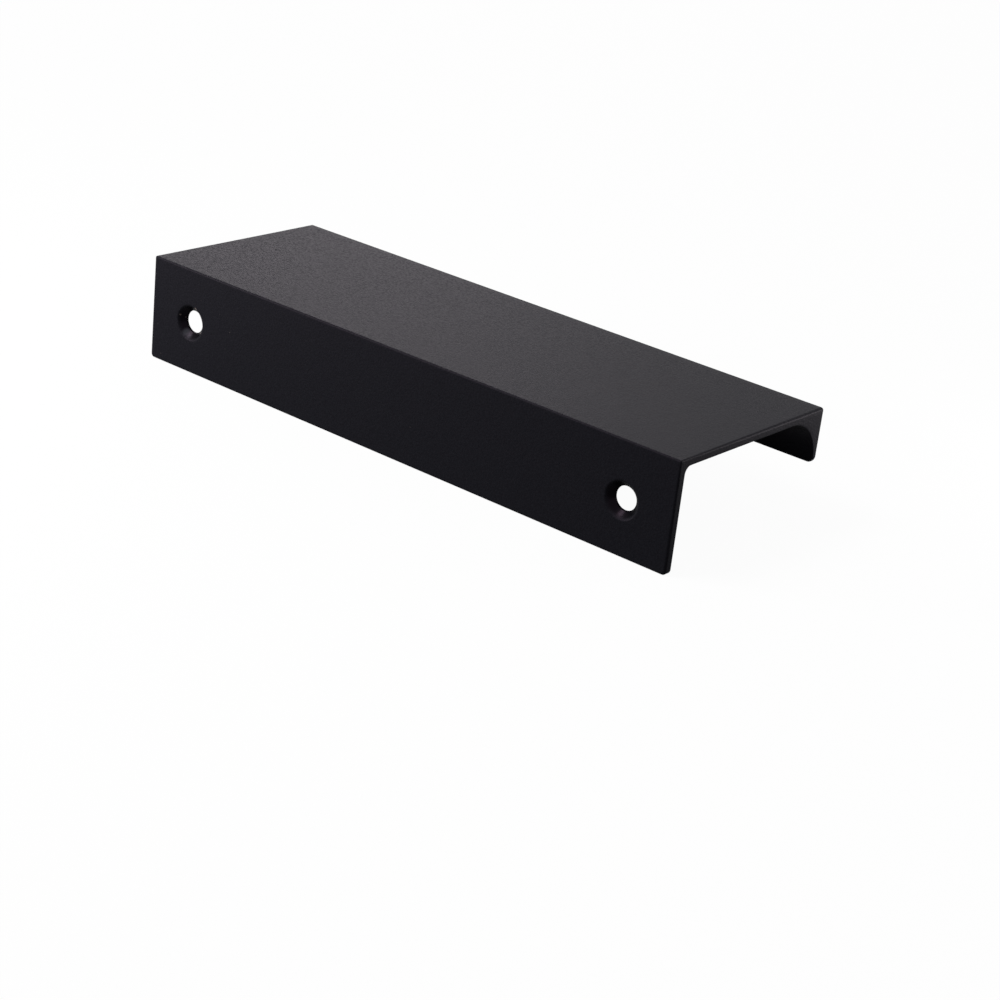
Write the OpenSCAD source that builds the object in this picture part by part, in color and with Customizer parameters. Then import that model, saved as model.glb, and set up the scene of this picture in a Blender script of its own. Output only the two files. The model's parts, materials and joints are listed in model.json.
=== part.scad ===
// Edge pull: one extruded strip, screwed to the back of a drawer front or door so that its
// plate covers the top edge and its short lip hangs in front for the fingers.
// X runs along the edge, +Y out towards the user, +Z up. The origin is midway between the
// two screw holes, on the face of the flange that lies against the door.

/* [Body] */
// Length along the door's edge
length = 115.4; // [106:0.1:300]
// Depth from the flange's outer face to the lip's outer face
depth = 39.5; // [26:0.1:60]
// Height of the screw flange, plate included
flange_h = 18.9; // [15:0.1:40]
// Height of the finger lip, plate included
lip_h = 9.6; // [6:0.1:18]
// Thickness of the plate
plate_t = 1.4; // [1.2:0.1:2.4]
// Thickness of the screw flange
flange_t = 1.6; // [1.4:0.1:2.4]

/* [Finger hollow] */
// Thickness of the lip at its free edge
lip_tip_t = 1.1; // [1:0.1:1.6]
// Radius of the hollow behind the lip
finger_r = 8; // [2:0.5:12]

/* [Edges and corners] */
// Radius of the outer edges, deburred and coated
edge_r = 0.5; // [0.2:0.05:0.6]
// Radius of the lip's free edge
lip_edge_r = 0.45; // [0.1:0.05:0.5]
// Radius of the inner corner between plate and flange
inner_r = 1.2; // [0.4:0.1:3]
// Radius of the flange's lower corners
flange_corner_r = 0.8; // [0.2:0.1:4]
// Radius of the lip's lower corners
lip_corner_r = 1.2; // [0.2:0.1:4]

/* [Screw holes] */
// Distance between the two screw holes
hole_spacing = 96; // [32:1:98]
// Distance from the plate's top down to the screw holes
hole_drop = 9.7; // [6:0.1:11]
// Diameter of the through hole
hole_d = 4; // [3.4:0.1:5]
// Diameter of the countersink at the flange's outer face
countersink_d = 6.4; // [5.2:0.1:6.8]
// Full angle of the countersink
countersink_angle = 90; // [82:1:100]

/* [Hidden] */
$fn = 96;

// How far a cutting shape reaches past the surface that it cuts
cut_over = 1;
// How far a blend reaches into the walls that it joins
blend_in = 0.2;

// Heights, measured from the screw holes
top_z = hole_drop;
underside_z = top_z - plate_t;
flange_low_z = top_z - flange_h;
lip_low_z = top_z - lip_h;

// Depths, measured from the face against the door
flange_out_y = -flange_t;
lip_out_y = depth - flange_t;

// Centre of the finger hollow's arc, and the width of the lip's root
hollow_y = lip_out_y - lip_tip_t - finger_r;
hollow_z = underside_z - finger_r;
lip_root_w = lip_tip_t + finger_r;

// Depth at which the lip's inner face meets its free edge, on the arc or straight below it
arc_rise = max(0, lip_low_z - hollow_z);
tip_in_y = hollow_y + sqrt(finger_r ^ 2 - arc_rise ^ 2);

// Depth of the countersink's cone, and its widening over the cutting allowance
countersink_slope = tan(countersink_angle / 2);
countersink_h = (countersink_d - hole_d) / 2 / countersink_slope;

// Quarter turns that face a rounding towards the material of each corner
LOWER_LEFT = 0;
LOWER_RIGHT = 1;
UPPER_RIGHT = 2;
UPPER_LEFT = 3;

// What a round of radius r leaves over in a square corner, with a strip past the corner
module spandrel(r, past) {
    difference() {
        translate([-past, -past]) square(r + past);
        translate([r, r]) circle(r);
    }
}

// The waste that rounds an outer corner
module corner_waste(corner, turn, r) {
    translate(corner) rotate(90 * turn) spandrel(r, cut_over);
}

module plate_section() {
    translate([flange_out_y, underside_z]) square([depth, plate_t]);
}

module flange_section() {
    translate([flange_out_y, flange_low_z]) square([flange_t, flange_h]);
    translate([0, underside_z]) rotate(90 * UPPER_LEFT) spandrel(inner_r, blend_in);
}

// The lip is what remains outside the hollow, which is an arc with a straight wall below it
module lip_section() {
    difference() {
        translate([lip_out_y - lip_root_w, lip_low_z]) square([lip_root_w, lip_h]);
        translate([hollow_y, hollow_z]) circle(finger_r);
        translate([hollow_y - finger_r, hollow_z - lip_h]) square([2 * finger_r, lip_h]);
    }
}

// Section of the strip, with Y to the right and Z up
module section() {
    difference() {
        union() {
            plate_section();
            flange_section();
            lip_section();
        }
        corner_waste([flange_out_y, top_z], UPPER_LEFT, edge_r);
        corner_waste([lip_out_y, top_z], UPPER_RIGHT, edge_r);
        corner_waste([flange_out_y, flange_low_z], LOWER_LEFT, edge_r);
        corner_waste([0, flange_low_z], LOWER_RIGHT, edge_r);
        corner_waste([lip_out_y, lip_low_z], LOWER_RIGHT, lip_edge_r);
        corner_waste([tip_in_y, lip_low_z], LOWER_LEFT, lip_edge_r);
    }
}

// Carries an outline drawn in X and Z from one depth to another
module across(from_y, to_y) {
    translate([0, to_y, 0]) rotate([90, 0, 0]) linear_extrude(to_y - from_y) children();
}

// Carries an outline drawn in X and Y from one height to another
module upright(from_z, to_z) {
    translate([0, 0, from_z]) linear_extrude(to_z - from_z) children();
}

// What rounds one end of the strip: the plate's edge, the outer faces' edges and the corners
module end_waste() {
    end_x = length / 2;
    back_y = flange_out_y - cut_over;
    front_y = lip_out_y + cut_over;
    low_z = flange_low_z - cut_over;
    high_z = top_z + cut_over;
    across(back_y, front_y) corner_waste([end_x, top_z], UPPER_RIGHT, edge_r);
    upright(low_z, high_z) corner_waste([end_x, flange_out_y], LOWER_RIGHT, edge_r);
    upright(low_z, high_z) corner_waste([end_x, lip_out_y], UPPER_RIGHT, edge_r);
    across(back_y, cut_over) corner_waste([end_x, flange_low_z], LOWER_RIGHT, flange_corner_r);
    across(hollow_y, front_y) corner_waste([end_x, lip_low_z], LOWER_RIGHT, lip_corner_r);
}

// Countersunk hole through the flange, wide at the outer face
module screw_hole() {
    mouth_r = countersink_d / 2 + cut_over * countersink_slope;
    translate([0, flange_out_y - cut_over, 0]) rotate([-90, 0, 0]) {
        cylinder(h = flange_t + 2 * cut_over, d = hole_d);
        cylinder(h = countersink_h + cut_over, r1 = mouth_r, r2 = hole_d / 2);
    }
}

module edge_pull() {
    color([0.11, 0.11, 0.12]) difference() {
        rotate([90, 0, 90]) linear_extrude(length, center = true) section();
        for (side = [0, 1]) mirror([side, 0, 0]) {
            end_waste();
            translate([hole_spacing / 2, 0, 0]) screw_hole();
        }
    }
}

edge_pull();
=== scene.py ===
"""Edge pull: a matt black strip with a screw flange, a cover plate and a hollowed finger lip.

Lengths are in millimetres until a mesh, a material, a lamp or the camera is made, and MM turns them
into metres.
"""

import json

import bmesh
import bpy
import numpy as np
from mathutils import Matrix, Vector


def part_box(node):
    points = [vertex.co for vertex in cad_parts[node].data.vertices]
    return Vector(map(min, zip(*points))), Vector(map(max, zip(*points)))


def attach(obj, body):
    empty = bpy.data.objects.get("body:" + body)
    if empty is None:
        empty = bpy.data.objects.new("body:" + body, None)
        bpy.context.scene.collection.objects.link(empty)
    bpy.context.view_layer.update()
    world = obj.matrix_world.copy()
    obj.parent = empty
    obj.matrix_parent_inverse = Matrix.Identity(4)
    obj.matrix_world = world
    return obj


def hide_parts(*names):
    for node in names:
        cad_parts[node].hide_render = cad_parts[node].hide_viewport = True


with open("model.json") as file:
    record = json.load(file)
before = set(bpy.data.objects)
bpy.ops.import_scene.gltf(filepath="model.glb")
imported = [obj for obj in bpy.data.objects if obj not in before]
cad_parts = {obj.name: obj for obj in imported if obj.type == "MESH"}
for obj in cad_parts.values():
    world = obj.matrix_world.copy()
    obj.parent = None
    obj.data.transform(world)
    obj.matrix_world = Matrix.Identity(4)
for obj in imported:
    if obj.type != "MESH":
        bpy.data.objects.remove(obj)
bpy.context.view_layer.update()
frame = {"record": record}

MM = 0.001

# Sizes that the frame gives
low, high = (np.array(corner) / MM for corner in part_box("edge_pull"))
mounts = {mount["name"]: mount for mount in frame["record"]["mounts"]}
HALF_LENGTH = high[0]
OUTER_Y, LIP_Y = low[1], high[1]
FLANGE_LOW_Z, TOP_Z = low[2], high[2]
DOOR_Y = mounts["flange_face"]["pos_m"][1] / MM
UNDERSIDE_Z = mounts["plate_underside"]["pos_m"][2] / MM
HOLE_X = mounts["screw_holes"]["dims"]["spacing_x_mm"] / 2
HOLE_R = mounts["screw_holes"]["dims"]["hole_r_mm"]

# Section of the strip
LIP_HEIGHT = 9.6
LIP_TIP = 1.1
HOLLOW_R = 8.0
EDGE_R = 0.5
RIDGE_R = 0.3
TIP_EDGE_R = 0.45
INNER_R = 1.2
LIP_LOW_Z = TOP_Z - LIP_HEIGHT
HOLLOW_Y = LIP_Y - LIP_TIP - HOLLOW_R
HOLLOW_Z = UNDERSIDE_Z - HOLLOW_R

# Lower corners seen from the side, and the softened edges at the sawn ends
FLANGE_CORNER_R = 0.8
LIP_CORNER_R = 1.2
SOFT_OUTSIDE = 0.46
SOFT_RIDGE = 0.28
SOFT_INSIDE = 0.25
SOFT_TIP = 0.4

# Countersunk holes
RIM_R = 3.2
RIM_ROUND = 0.45
THROAT_ROUND = 0.25
BACK_ROUND = 0.12

# Fineness of the mesh
ROUND_STEPS = 6
HOLE_STEPS = 64
CONE_STEPS = 5
LIP_STEPS = 8
PLATE_STEPS = 10
MIDDLE_STEPS = 12
CORNER_STEPS = 7
CAP_STEPS = 4
LOW_EDGE_STEPS = CAP_STEPS // 2
PATCH_SHARES = (0, 0.3, 0.6, 0.85, 1)

# Half the side of the square patch round a hole, the gap between an edge and the line that
# supports it, and how near two points lie when they are joined
PATCH_HALF = 5.0
SUPPORT = 0.2
WELD = 0.002


# Profile of the strip

def straight(start, end, along):
    """Points at the given shares of the way from start to end, with the normal on the left."""
    start, end = np.array(start, float), np.array(end, float)
    way = (end - start) / np.linalg.norm(end - start)
    points = start + (end - start) * np.asarray(along)[:, None]
    return points, np.tile([-way[1], way[0]], (len(along), 1))


def sweep(start, end, steps=ROUND_STEPS):
    """Even angles from start to end, in degrees."""
    return np.linspace(start, end, steps + 1)


def bend(centre, radius, degrees):
    """Arc: centre + radius (cos, sin). Falling angles give an outer corner and rising ones
    a hollow, so the normal is on the left of the way along the arc."""
    turn = np.radians(degrees)
    spokes = np.stack([np.cos(turn), np.sin(turn)], axis=1)
    return np.array(centre) + radius * spokes, spokes * np.sign(degrees[0] - degrees[-1])


def tip_inside():
    """Where the hollow ends above the lip's tip: depth from the circle, at the rounding's height."""
    z = LIP_LOW_Z + TIP_EDGE_R
    return HOLLOW_Y + np.sqrt(HOLLOW_R ** 2 - (z - HOLLOW_Z) ** 2), z


def tip_middle():
    """Middle of the flat that the two roundings leave on the lip's tip."""
    return (tip_inside()[0] + LIP_Y) / 2


def hollow_ray(z, from_y):
    """Angle at which the ray from the hollow's centre passes height z at depth from_y."""
    return np.degrees(np.arctan2(z - HOLLOW_Z, from_y - HOLLOW_Y))


def even(steps):
    """Shares from nought to one at even steps."""
    return np.linspace(0, 1, steps + 1)


def supported(length, steps):
    """Even shares of a straight of the given length, with one more line close inside each end."""
    edge = SUPPORT / length
    return np.concatenate([[0, edge], even(steps)[1:-1], [1 - edge, 1]])


def patch_lines():
    """Places along a side of the square patch round a hole, at equal angles from its centre."""
    return PATCH_HALF * np.tan(np.radians(sweep(-45, 45, HOLE_STEPS // 4)))


def corner_lines(corner_r, soft, edge_z, low_z):
    """Heights from a lower corner's top down to edge_z, at even angles round the corner as the
    end's softened edge goes round it."""
    reach = corner_r - soft
    last = np.arcsin((low_z + corner_r - edge_z) / reach)
    return low_z + corner_r - reach * np.sin(last * even(CORNER_STEPS))


def flange_lines(top):
    """Heights of the mesh lines up the flange, as shares of the way from its low edge to top."""
    base = FLANGE_LOW_Z + EDGE_R
    corner = corner_lines(FLANGE_CORNER_R, SOFT_OUTSIDE, base, FLANGE_LOW_Z)[::-1]
    below, above = (corner[-1] - PATCH_HALF) / 2, (top + PATCH_HALF) / 2
    heights = [corner, [corner[-1] + SUPPORT, below], patch_lines(), [above, top - SUPPORT, top]]
    return (np.concatenate(heights) - base) / (top - base)


def lip_lines():
    """Heights of the mesh lines down the lip's lower corner."""
    return corner_lines(LIP_CORNER_R, SOFT_TIP, LIP_LOW_Z + TIP_EDGE_R, LIP_LOW_Z)


def chain(pieces):
    """Joins the pieces of a path. Each is its points and normals and the softening radius at its
    two ends, which changes evenly between them, and it leaves out the point that it shares with
    the piece before it."""
    parts = [[], [], []]
    for number, ((points, normals), soft_start, soft_end) in enumerate(pieces):
        skip = min(number, 1)
        reach = np.linalg.norm(points - points[0], axis=1)
        soft = soft_start + (soft_end - soft_start) * reach / reach[-1]
        parts[0].append(points[skip:])
        parts[1].append(normals[skip:])
        parts[2].append(soft[skip:])
    return [np.concatenate(part) for part in parts]


def outer_path():
    """Outer half of the section, from the middle of the flange's low edge to the lip's tip: arcs
    and straights. On the lip its points lie where even rays from the hollow's centre meet it."""
    low_mid = (OUTER_Y + DOOR_Y) / 2
    low_edge = even(LOW_EDGE_STEPS)
    low_corner = (OUTER_Y + EDGE_R, FLANGE_LOW_Z + EDGE_R)
    ridge = (OUTER_Y + RIDGE_R, TOP_Z - RIDGE_R)
    lip_corner_y, corner_z = LIP_Y - EDGE_R, TOP_Z - EDGE_R
    corner = lip_lines()
    taper_z, tip_y, tip_z = corner[0], LIP_Y - TIP_EDGE_R, corner[-1]
    round_corner = (taper_z - corner) / (taper_z - tip_z)
    soft_mid = (SOFT_OUTSIDE + SOFT_INSIDE) / 2
    rays = np.radians(sweep(90, hollow_ray(TOP_Z, lip_corner_y), LIP_STEPS))
    over_hollow = (TOP_Z - HOLLOW_Z) / np.tan(rays) / (lip_corner_y - HOLLOW_Y)
    rays = np.radians(sweep(hollow_ray(corner_z, LIP_Y), hollow_ray(taper_z, LIP_Y), LIP_STEPS))
    down_lip = (corner_z - HOLLOW_Z - (LIP_Y - HOLLOW_Y) * np.tan(rays)) / (corner_z - taper_z)
    plate = supported(HOLLOW_Y - ridge[0], PLATE_STEPS)
    out, top, tip = SOFT_OUTSIDE, SOFT_RIDGE, SOFT_TIP
    return chain([
        (straight((low_mid, FLANGE_LOW_Z), (low_corner[0], FLANGE_LOW_Z), low_edge), soft_mid, out),
        (bend(low_corner, EDGE_R, sweep(-90, -180)), out, out),
        (straight((OUTER_Y, low_corner[1]), (OUTER_Y, ridge[1]), flange_lines(ridge[1])), out, top),
        (bend(ridge, RIDGE_R, sweep(180, 90)), top, top),
        (straight((ridge[0], TOP_Z), (HOLLOW_Y, TOP_Z), plate), top, out),
        (straight((HOLLOW_Y, TOP_Z), (lip_corner_y, TOP_Z), over_hollow), out, out),
        (bend((lip_corner_y, corner_z), EDGE_R, sweep(90, 0)), out, out),
        (straight((LIP_Y, corner_z), (LIP_Y, taper_z), down_lip), out, out),
        (straight((LIP_Y, taper_z), (LIP_Y, tip_z), round_corner), out, tip),
        (bend((tip_y, tip_z), TIP_EDGE_R, sweep(0, -90)), tip, tip),
        (straight((tip_y, LIP_LOW_Z), (tip_middle(), LIP_LOW_Z), low_edge), tip, tip),
    ])


def inner_path():
    """Inner half of the section, from the lip's tip back to the middle of the flange's low edge:
    arcs and straights, with the hollow's points at the angles of the outer half's rays."""
    low_mid = (OUTER_Y + DOOR_Y) / 2
    low_edge = even(LOW_EDGE_STEPS)
    corner = lip_lines()[::-1]
    corner_turns = np.degrees(np.arcsin((corner - HOLLOW_Z) / HOLLOW_R))
    tip_inner_y, tip_z = tip_inside()
    tip_y = tip_inner_y + TIP_EDGE_R
    hollow = (HOLLOW_Y, HOLLOW_Z)
    low_turn, high_turn = hollow_ray(TOP_Z - EDGE_R, LIP_Y), hollow_ray(TOP_Z, LIP_Y - EDGE_R)
    up_lip = sweep(corner_turns[-1], low_turn, LIP_STEPS)
    past_corner = sweep(low_turn, high_turn)
    to_top = sweep(high_turn, 90, LIP_STEPS)
    soft_mid = (SOFT_OUTSIDE + SOFT_INSIDE) / 2
    inside, tip = SOFT_INSIDE, SOFT_TIP
    fillet = (DOOR_Y + INNER_R, UNDERSIDE_Z - INNER_R)
    plate = supported(HOLLOW_Y - fillet[0], PLATE_STEPS)
    low_corner = (DOOR_Y - EDGE_R, FLANGE_LOW_Z + EDGE_R)
    down = 1 - flange_lines(fillet[1])[::-1]
    return chain([
        (straight((tip_middle(), LIP_LOW_Z), (tip_y, LIP_LOW_Z), low_edge), tip, tip),
        (bend((tip_y, tip_z), TIP_EDGE_R, sweep(-90, -180)), tip, tip),
        (bend(hollow, HOLLOW_R, corner_turns), tip, inside),
        (bend(hollow, HOLLOW_R, up_lip), inside, inside),
        (bend(hollow, HOLLOW_R, past_corner), inside, inside),
        (bend(hollow, HOLLOW_R, to_top), inside, inside),
        (straight((HOLLOW_Y, UNDERSIDE_Z), (fillet[0], UNDERSIDE_Z), plate), inside, inside),
        (bend(fillet, INNER_R, sweep(90, 180)), inside, inside),
        (straight((DOOR_Y, fillet[1]), (DOOR_Y, low_corner[1]), down), inside, inside),
        (bend(low_corner, EDGE_R, sweep(0, -90)), inside, inside),
        (straight((low_corner[0], FLANGE_LOW_Z), (low_mid, FLANGE_LOW_Z), low_edge), inside, soft_mid),
    ])


# Sheets of the surface: each is a grid of points, rows by columns by X, Y, Z

def end_surface(points, soft):
    """Where the centre of a ball of radius soft lies when it rolls inside the sawn end, and the
    end's normal there. The end is flat, and a cylinder rounds each lower corner below it, so that
    the softening dies away along the low edges."""
    on_flange = points[..., 0] < (DOOR_Y + HOLLOW_Y) / 2
    radius = np.where(on_flange, FLANGE_CORNER_R, LIP_CORNER_R)
    centre_z = np.where(on_flange, FLANGE_LOW_Z, LIP_LOW_Z) + radius
    reach = radius - soft
    drop = np.clip(centre_z - points[..., 1], 0, reach)
    across = np.sqrt(reach ** 2 - drop ** 2)
    x = HALF_LENGTH - radius + across
    normal = np.stack([across, np.zeros_like(x), -drop], axis=-1) / reach[..., None]
    return x, normal


def end_sheets(outer, inner):
    """Softened edge all round one end, and the end itself between the halves of the section.
    The edge is a ball's path: centre + soft times the blend of the side's and the end's normal."""
    sheets = []
    blend = even(ROUND_STEPS)[None, :, None]
    rims = []
    for points, normals, soft in (outer, inner):
        centre = points - soft[:, None] * normals
        x, end_normal = end_surface(centre, soft)
        side_normal = np.concatenate([np.zeros((len(points), 1)), normals], axis=1)
        way = (1 - blend) * side_normal[:, None] + blend * end_normal[:, None]
        way /= np.linalg.norm(way, axis=2, keepdims=True)
        ball = np.concatenate([x[:, None], centre], axis=1)
        sheets.append(ball[:, None] + soft[:, None, None] * way)
        rims.append((centre, soft))
    (outer_centre, outer_soft), (inner_centre, inner_soft) = rims
    share = even(CAP_STEPS)
    centre = outer_centre[:, None] + share[None, :, None] * (inner_centre - outer_centre)[:, None]
    soft = outer_soft[:, None] + share[None, :] * (inner_soft - outer_soft)[:, None]
    x, normal = end_surface(centre, soft)
    ball = np.concatenate([x[..., None], centre], axis=2)
    sheets.append((ball + soft[..., None] * normal)[LOW_EDGE_STEPS:-LOW_EDGE_STEPS])
    return sheets


def side_sheet(points, normals, soft):
    """The section carried along the length: the same points at each place in X. The outermost
    columns follow the softened ends."""
    x, _ = end_surface(points - soft[:, None] * normals, soft)
    beside = HOLE_X + patch_lines()
    near_end = HALF_LENGTH - LIP_CORNER_R - SUPPORT
    middle = np.linspace(-beside[0], beside[0], MIDDLE_STEPS + 1)[1:-1]
    inner = np.concatenate([[-near_end], -beside[::-1], middle, beside, [near_end]])
    columns = [-x, SUPPORT - x, *[np.full_like(x, place) for place in inner], x - SUPPORT, x]
    across = np.stack(columns, axis=1)
    section = np.repeat(points[:, None], across.shape[1], axis=1)
    return np.concatenate([across[..., None], section], axis=2)


def hole_sheets(x):
    """Square patches on both faces of the flange, drawn in to a hole's edges, and the hole's wall:
    a profile of distances from the axis and depths, made of arcs and straights and turned about
    the hole's axis. The countersink's wall slants at 45 degrees, so the rounding of its edge meets
    the straight beside it at a setback of the radius times the tangent of half that angle."""
    setback = np.tan(np.radians(45 / 2))
    slant = np.array([-1, -1]) / np.sqrt(2)

    def rounding(centre, radius, start, end):
        """Arc: centre + radius times the blend of the two directions, made one long."""
        blend = even(ROUND_STEPS)[:, None]
        way = (1 - blend) * np.array(start) + blend * np.array(end)
        return np.array(centre) + radius * way / np.linalg.norm(way, axis=1, keepdims=True)

    cone_foot_y = OUTER_Y + RIM_R - HOLE_R
    rim = rounding((RIM_R + RIM_ROUND * setback, OUTER_Y + RIM_ROUND), RIM_ROUND, (0, -1), slant)
    throat_centre = (HOLE_R + THROAT_ROUND, cone_foot_y + THROAT_ROUND * setback)
    throat = rounding(throat_centre, THROAT_ROUND, slant, (-1, 0))
    back = rounding((HOLE_R + BACK_ROUND, DOOR_Y - BACK_ROUND), BACK_ROUND, (-1, 0), (0, 1))
    cone = rim[-1] + (throat[0] - rim[-1]) * even(CONE_STEPS)[1:-1, None]
    profile = np.concatenate([rim, cone, throat, back])

    turn = np.radians(sweep(-45, 315, HOLE_STEPS))
    spokes = np.stack([np.cos(turn), np.sin(turn)], axis=1)
    square = PATCH_HALF * spokes / np.abs(spokes).max(axis=1, keepdims=True)

    def face(radius, y):
        """Blend of the square and the hole's edge, ring by ring."""
        share = np.array(PATCH_SHARES)[:, None, None]
        ring = radius * spokes
        flat = (1 - share) * square + share * ring
        return np.stack([x + flat[..., 0], np.full_like(flat[..., 0], y), flat[..., 1]], axis=2)

    wall = np.stack([
        x + profile[:, :1] * spokes[None, :, 0],
        np.repeat(profile[:, 1:], len(turn), axis=1),
        profile[:, :1] * spokes[None, :, 1],
    ], axis=2)
    return [face(profile[0, 0], OUTER_Y), wall, face(profile[-1, 0], DOOR_Y)]


def sheet_faces(rows, columns):
    """Four corner numbers for each cell of a grid of points."""
    number = np.arange(rows * columns).reshape(rows, columns)
    corners = [number[:-1, :-1], number[1:, :-1], number[1:, 1:], number[:-1, 1:]]
    return np.stack(corners, axis=-1)


def in_patch(sheet):
    """Cells of the side sheet that lie inside a square patch round a hole."""
    middle = (sheet[:-1, :-1] + sheet[1:, 1:]) / 2
    near_hole = np.abs(np.abs(middle[..., 0]) - HOLE_X) < PATCH_HALF
    beside_hole = np.abs(middle[..., 2]) < PATCH_HALF
    on_flange = middle[..., 1] < DOOR_Y + SUPPORT
    return near_hole & beside_hole & on_flange


def strip_mesh():
    """The whole strip as one closed mesh: sides, both ends and both holes, joined at their seams."""
    outer, inner = outer_path(), inner_path()
    points, faces, count = [], [], 0

    def add(sheet, keep=None):
        nonlocal count
        cells = sheet_faces(*sheet.shape[:2])
        cells = cells.reshape(-1, 4) if keep is None else cells[keep]
        points.append(sheet.reshape(-1, 3))
        faces.append(cells + count)
        count += len(points[-1])

    for half in (outer, inner):
        sheet = side_sheet(*half)
        add(sheet, ~in_patch(sheet))
    for sheet in end_sheets(outer, [part[::-1] for part in inner]):
        add(sheet)
        add(sheet * [-1, 1, 1])
    for x in (-HOLE_X, HOLE_X):
        for sheet in hole_sheets(x):
            add(sheet)

    used, corners = np.unique(np.concatenate(faces), return_inverse=True)
    mesh = bpy.data.meshes.new("edge_pull_strip")
    mesh.from_pydata(np.concatenate(points)[used] * MM, [], corners.reshape(-1, 4))
    work = bmesh.new()
    work.from_mesh(mesh)
    bmesh.ops.remove_doubles(work, verts=work.verts, dist=WELD * MM)
    bmesh.ops.recalc_face_normals(work, faces=work.faces)
    open_edges = sum(not edge.is_manifold for edge in work.edges)
    print("strip:", len(work.verts), "points,", len(work.faces), "faces,", open_edges, "open edges")
    work.to_mesh(mesh)
    work.free()
    mesh.shade_smooth()
    return mesh


# Materials

# Powder coat: the grain's two tones and where they end on its noise, then gloss and relief
COAT_DARK = (0.0053, 0.0057, 0.0076, 1)
COAT_PALE = (0.0094, 0.0100, 0.0128, 1)
GRAIN_ENDS = (0.3, 0.7)
COAT_ROUGHNESS = 0.5
COAT_SPECULAR = 0.058
COAT_TINT = (1.0, 0.70, 0.97, 1)
GRAIN_SCALE = 3000.0
GRAIN_HEIGHT = 0.043
PEEL_SCALE = 900.0
PEEL_HEIGHT = 0.02
# Speckle in the gloss: its strength at the far and the near corner, and the lowest value kept
SPECKLE_SCALE = 2400.0
SPECKLE_FAR = 0.55
SPECKLE_NEAR = 0.0
SPECKLE_LEAST = -0.07
# Smoother coat in the countersinks, with a darker colour there that is painted shade: out to SUNK_R
# from the axis and SUNK_DEPTH from the flange's outer face, fading over SUNK_BLEND and SUNK_END
SUNK_SHADE_COLOUR = (0.0020, 0.0021, 0.0030, 1)
SUNK_ROUGHNESS = 0.28
SUNK_R = 2.6
SUNK_BLEND = 0.55
SUNK_DEPTH = 1.3
SUNK_END = 0.2
# Painted highlight in the left countersink, a paler patch where a lamp's reflection falls, and specks
# where the coat is chipped, the four at that hole also painted glints: place, radius and strength of
# each
PAINTED_HIGHLIGHT_COLOUR = (0.030, 0.031, 0.037, 1)
PAINTED_HIGHLIGHTS = [
    (-49.35, -1.00, -2.20, 1.00, 1.0),
    (-48.55, -1.10, -2.60, 0.80, 0.7),
]
CHIP_AND_GLINT_COLOUR = (0.30, 0.24, 0.22, 1)
CHIPS_AND_GLINTS = [
    # The first four specks, in and round the left countersink, are painted glints as well as chips; the
    # rest are flecks on the flange
    (-50.84, -1.32, 0.71, 0.25, 0.45),
    (-50.16, -0.58, 0.29, 0.16, 0.3),
    (-46.80, -1.50, 2.90, 0.35, 0.6),
    (-45.82, -0.96, -1.35, 0.25, 0.5),
    (-37.98, -1.60, 1.22, 0.17, 0.12),
    (-55.05, -1.60, -7.79, 0.17, 0.09),
    (-45.53, -1.60, 4.87, 0.14, 0.05),
    (-40.70, -1.60, 3.71, 0.14, 0.07),
    (-38.87, -1.60, -2.08, 0.14, 0.06),
    (4.82, -1.60, -2.28, 0.16, 0.08),
    (-56.15, -1.60, -2.50, 0.14, 0.07),
]

# Plain light from all around
AMBIENT = 0.25

# Floor: half its side, its white where it is seen, what it throws back as light, the share of its
# white in the coat's reflections, and how much it glows where it is seen and in reflections
FLOOR_REACH = 3000
FLOOR_WHITE = 1.0
FLOOR_BOUNCE = 0.2
FLOOR_MIRRORED = 0.2
FLOOR_GLOW = 0.96
GLOSSY_GLOW = 0.1

# Square softboxes: name, place, aim, side, power and colour
WHITE = (1.0, 1.0, 1.0)
ROSY_WHITE = (1.0, 0.91, 0.98)
SOFTBOXES = [
    ("key", (-585, -675, 1200), (0, 15, 0), 560, 11.4, WHITE),
    ("back", (-700, 650, 345), (0, 15, 0), 400, 1.15, ROSY_WHITE),
    ("left", (-180, -150, 60), (-20, 0, 0), 70, 0.36, WHITE),
    ("side", (115, 120, 10), (57, 10, 0), 36, 0.06, WHITE),
]

# Camera: lens, sensor, nearest and farthest that it sees, place, and turn in degrees
LENS = 80.386
SENSOR = 36.0
CLIP = (10, 20000)
EYE_PLACE = (224.840, -261.019, 128.110)
EYE_TURN = (67.2758, -6.1392, 40.1808)


def node_tree(tree):
    """Clears a node tree and gives two short helpers to add and join its nodes."""
    tree.nodes.clear()

    def add(kind, **inputs):
        node = tree.nodes.new(kind)
        for key, value in inputs.items():
            node.inputs[key.replace("_", " ")].default_value = value
        return node

    def join(source, target):
        tree.links.new(source, target)

    return add, join


def new_material(name):
    """Empty node material, with the two helpers for its nodes."""
    material = bpy.data.materials.new(name)
    material.use_nodes = True
    return material, *node_tree(material.node_tree)


def maths(add, join, operation, *values):
    """Math node. Each value is a number or another node's output."""
    node = add("ShaderNodeMath")
    node.operation = operation
    for value, socket in zip(values, node.inputs):
        if isinstance(value, (int, float)):
            socket.default_value = value
        else:
            join(value, socket)
    return node.outputs["Value"]


def fade(add, join, value, full, none):
    """Smooth step: one where value is below full, nought where it is above none."""
    node = add("ShaderNodeMapRange")
    node.interpolation_type = "SMOOTHSTEP"
    for socket, number in zip(node.inputs[1:5], (full, none, 1, 0)):
        socket.default_value = number
    join(value, node.inputs["Value"])
    return node.outputs["Result"]


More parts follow.
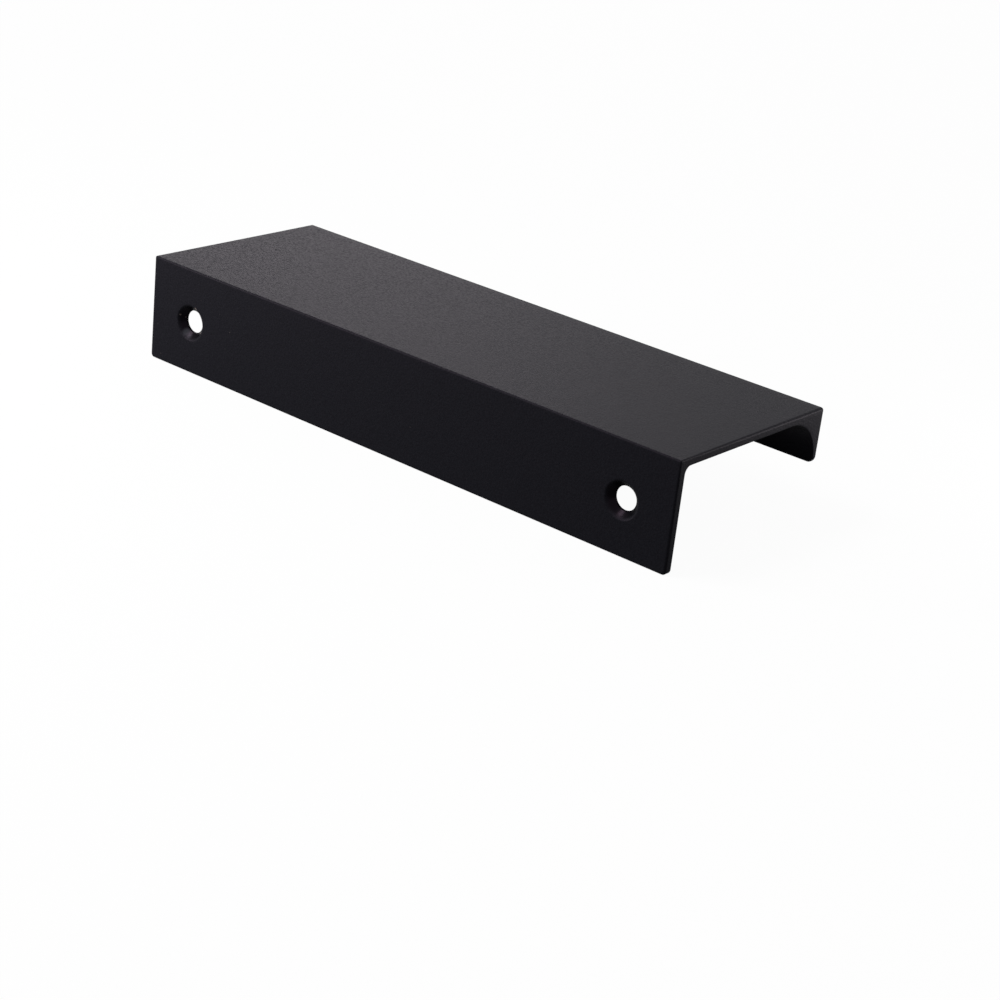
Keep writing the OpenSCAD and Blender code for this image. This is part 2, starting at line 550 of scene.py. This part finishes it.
def in_countersinks(add, join, place):
    """One on the walls of the two countersunk holes: by the distance from their axes, and not
    beyond SUNK_DEPTH from the flange's outer face."""
    parts = add("ShaderNodeSeparateXYZ")
    join(place.outputs["Object"], parts.inputs["Vector"])
    across = maths(add, join, "SUBTRACT", maths(add, join, "ABSOLUTE", parts.outputs["X"]), HOLE_X * MM)
    squares = [maths(add, join, "MULTIPLY", side, side) for side in (across, parts.outputs["Z"])]
    distance = maths(add, join, "SQRT", maths(add, join, "ADD", *squares))
    near_axis = fade(add, join, distance, SUNK_R * MM, (SUNK_R + SUNK_BLEND) * MM)
    deepest = OUTER_Y + SUNK_DEPTH
    shallow = fade(add, join, parts.outputs["Y"], deepest * MM, (deepest + SUNK_END) * MM)
    return maths(add, join, "MULTIPLY", near_axis, shallow)


def strongest(add, join, place, marks):
    """Strongest of the round marks at each place. A mark is full within a third of its radius."""
    total = 0.0
    for x, y, z, radius, strength in marks:
        gap = add("ShaderNodeVectorMath")
        gap.operation = "DISTANCE"
        gap.inputs[1].default_value = (x * MM, y * MM, z * MM)
        join(place.outputs["Object"], gap.inputs[0])
        mark = fade(add, join, gap.outputs["Value"], radius * MM / 3, radius * MM)
        total = maths(add, join, "MAXIMUM", maths(add, join, "MULTIPLY", mark, strength), total)
    return total


def speckle(add, join, place):
    """Fine change in roughness, which shows where the coat is seen at a low angle. It grows from
    the flange's right end towards the lip's left end."""
    noise = add("ShaderNodeTexNoise", Scale=SPECKLE_SCALE, Detail=1.0, Roughness=0.5)
    join(place.outputs["Object"], noise.inputs["Vector"])
    across = add("ShaderNodeVectorMath")
    across.operation = "DOT_PRODUCT"
    across.inputs[1].default_value = (-1, 1, 0)
    join(place.outputs["Object"], across.inputs[0])
    strength = add("ShaderNodeMapRange")
    ends = (-HALF_LENGTH * MM, (HALF_LENGTH + LIP_Y) * MM, SPECKLE_NEAR, SPECKLE_FAR)
    for socket, number in zip(strength.inputs[1:5], ends):
        socket.default_value = number
    join(across.outputs["Value"], strength.inputs["Value"])
    change = maths(add, join, "SUBTRACT", noise.outputs["Fac"], 0.5)
    change = maths(add, join, "MAXIMUM", change, SPECKLE_LEAST)
    return maths(add, join, "MULTIPLY", change, strength.outputs["Result"])


def coat_colour(add, join, grain, marks):
    """Ramp between the coat's two tones by the grain, with the colour of each mark laid over it by
    the mark's share."""
    tone = add("ShaderNodeValToRGB")
    for element, end, colour in zip(tone.color_ramp.elements, GRAIN_ENDS, (COAT_DARK, COAT_PALE)):
        element.position = end
        element.color = colour
    join(grain.outputs["Fac"], tone.inputs["Fac"])
    colour = tone.outputs["Color"]
    for share, other in marks:
        mix = add("ShaderNodeMixRGB", Color2=other)
        join(share, mix.inputs["Fac"])
        join(colour, mix.inputs["Color1"])
        colour = mix.outputs["Color"]
    return colour


def coat_relief(add, join, grain, peel, rough):
    """Normal of the grain on the orange peel, each as high as its noise times rough."""
    waves = add("ShaderNodeBump", Strength=1.0, Distance=PEEL_HEIGHT * MM)
    relief = add("ShaderNodeBump", Strength=1.0, Distance=GRAIN_HEIGHT * MM)
    for noise, bump in ((peel, waves), (grain, relief)):
        join(maths(add, join, "MULTIPLY", noise.outputs["Fac"], rough), bump.inputs["Height"])
    join(waves.outputs["Normal"], relief.inputs["Normal"])
    return relief.outputs["Normal"]


def coat_roughness(add, join, place, sunk):
    """The coat's roughness, less in the countersinks, plus the speckle."""
    smoother = maths(add, join, "MULTIPLY", sunk, SUNK_ROUGHNESS - COAT_ROUGHNESS)
    gloss = maths(add, join, "ADD", smoother, COAT_ROUGHNESS)
    return maths(add, join, "ADD", gloss, speckle(add, join, place))


def powder_coat():
    """Matt black powder coat: a fine grain over a wider orange peel, in colour, relief and gloss.
    It is smoother in the countersinks and darker there as painted shade, has a paler painted highlight
    in one of them, and is chipped in specks, some of which are painted glints."""
    material, add, join = new_material("powder_coat")
    place = add("ShaderNodeTexCoord")
    sunk = in_countersinks(add, join, place)
    painted_highlight = strongest(add, join, place, PAINTED_HIGHLIGHTS)
    chipped_or_glinting = strongest(add, join, place, CHIPS_AND_GLINTS)
    # The countersinks' darker colour is painted shade, the paler patch in the left one a painted
    # highlight, and some chips painted glints
    marks = ((sunk, SUNK_SHADE_COLOUR), (painted_highlight, PAINTED_HIGHLIGHT_COLOUR), (chipped_or_glinting, CHIP_AND_GLINT_COLOUR))
    grain = add("ShaderNodeTexNoise", Scale=GRAIN_SCALE, Detail=2.0, Roughness=0.6)
    peel = add("ShaderNodeTexNoise", Scale=PEEL_SCALE, Detail=2.0, Roughness=0.5)
    for noise in (grain, peel):
        join(place.outputs["Object"], noise.inputs["Vector"])
    rough = maths(add, join, "SUBTRACT", 1.0, sunk)
    shader = add("ShaderNodeBsdfPrincipled", Specular_IOR_Level=COAT_SPECULAR, Specular_Tint=COAT_TINT)
    join(coat_colour(add, join, grain, marks), shader.inputs["Base Color"])
    join(coat_roughness(add, join, place, sunk), shader.inputs["Roughness"])
    join(coat_relief(add, join, grain, peel, rough), shader.inputs["Normal"])
    out = add("ShaderNodeOutputMaterial")
    join(shader.outputs["BSDF"], out.inputs["Surface"])
    return material


def seen_share(add, join, glossy_share):
    """One for camera and transmission rays, glossy_share for glossy ones, and nought for the rays
    that light surfaces."""
    path = add("ShaderNodeLightPath")
    share = maths(add, join, "MULTIPLY", path.outputs["Is Glossy Ray"], glossy_share)
    for ray in ("Is Camera Ray", "Is Transmission Ray"):
        share = maths(add, join, "MAXIMUM", share, path.outputs[ray])
    return share


def pale_floor():
    """Pale floor. What the camera sees of it is mostly white of its own, and the rest keeps the
    shadow, which shows in full in the coat's reflections."""
    material, add, join = new_material("pale_floor")
    shade = add("ShaderNodeBsdfDiffuse", Color=(FLOOR_WHITE, FLOOR_WHITE, FLOOR_WHITE, 1))
    dim = add("ShaderNodeBsdfDiffuse", Color=(FLOOR_BOUNCE, FLOOR_BOUNCE, FLOOR_BOUNCE, 1))
    lit = add("ShaderNodeMixShader")
    join(seen_share(add, join, FLOOR_MIRRORED), lit.inputs["Fac"])
    join(dim.outputs["BSDF"], lit.inputs[1])
    join(shade.outputs["BSDF"], lit.inputs[2])
    glow = add("ShaderNodeEmission", Color=(1, 1, 1, 1), Strength=1.0)
    mix = add("ShaderNodeMixShader")
    out = add("ShaderNodeOutputMaterial")
    seen = seen_share(add, join, GLOSSY_GLOW)
    join(maths(add, join, "MULTIPLY", seen, FLOOR_GLOW), mix.inputs["Fac"])
    join(lit.outputs["Shader"], mix.inputs[1])
    join(glow.outputs["Emission"], mix.inputs[2])
    join(mix.outputs["Shader"], out.inputs["Surface"])
    return material


# Studio

def studio_floor():
    """Large plate level with the pull's lowest edge."""
    reach, z = FLOOR_REACH * MM, FLANGE_LOW_Z * MM
    corners = [(-reach, -reach, z), (reach, -reach, z), (reach, reach, z), (-reach, reach, z)]
    mesh = bpy.data.meshes.new("studio_floor")
    mesh.from_pydata(corners, [], [(0, 1, 2, 3)])
    floor = bpy.data.objects.new("studio_floor", mesh)
    floor.data.materials.append(pale_floor())
    bpy.context.scene.collection.objects.link(floor)


def studio_world():
    """White where it is seen, and a plain soft light on everything."""
    world = bpy.data.worlds.new("studio")
    bpy.context.scene.world = world
    world.use_nodes = True
    add, join = node_tree(world.node_tree)
    light = add("ShaderNodeBackground", Color=(1, 1, 1, 1), Strength=AMBIENT)
    backdrop = add("ShaderNodeBackground", Color=(1, 1, 1, 1), Strength=1.0)
    mix = add("ShaderNodeMixShader")
    out = add("ShaderNodeOutputWorld")
    join(seen_share(add, join, 1.0), mix.inputs["Fac"])
    join(light.outputs["Background"], mix.inputs[1])
    join(backdrop.outputs["Background"], mix.inputs[2])
    join(mix.outputs["Shader"], out.inputs["Surface"])


def softbox(name, place, aim, size, power, colour):
    """Square area lamp at place, turned towards aim. Places are in millimetres."""
    lamp = bpy.data.lights.new(name, "AREA")
    lamp.size = size * MM
    lamp.energy = power
    lamp.color = colour
    box = bpy.data.objects.new(name, lamp)
    box.location = np.array(place) * MM
    box.visible_camera = False
    box.rotation_euler = (Vector(aim) - Vector(place)).to_track_quat("-Z", "Y").to_euler()
    bpy.context.scene.collection.objects.link(box)


def camera():
    """Long lens at the photograph's place, rolled as the pull leans there."""
    lens = bpy.data.cameras.new("camera")
    lens.sensor_width = SENSOR
    lens.lens = LENS
    lens.clip_start, lens.clip_end = np.array(CLIP) * MM
    eye = bpy.data.objects.new("camera", lens)
    eye.location = np.array(EYE_PLACE) * MM
    eye.rotation_euler = np.radians(EYE_TURN)
    bpy.context.scene.collection.objects.link(eye)
    bpy.context.scene.camera = eye


# The pull

camera()
studio_floor()
studio_world()
for lamp in SOFTBOXES:
    softbox(*lamp)

strip = bpy.data.objects.new("edge_pull_strip", strip_mesh())
bpy.context.scene.collection.objects.link(strip)
strip.data.materials.append(powder_coat())
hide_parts("edge_pull")
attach(strip, "root")

scene = bpy.context.scene
scene.view_settings.view_transform = "Standard"
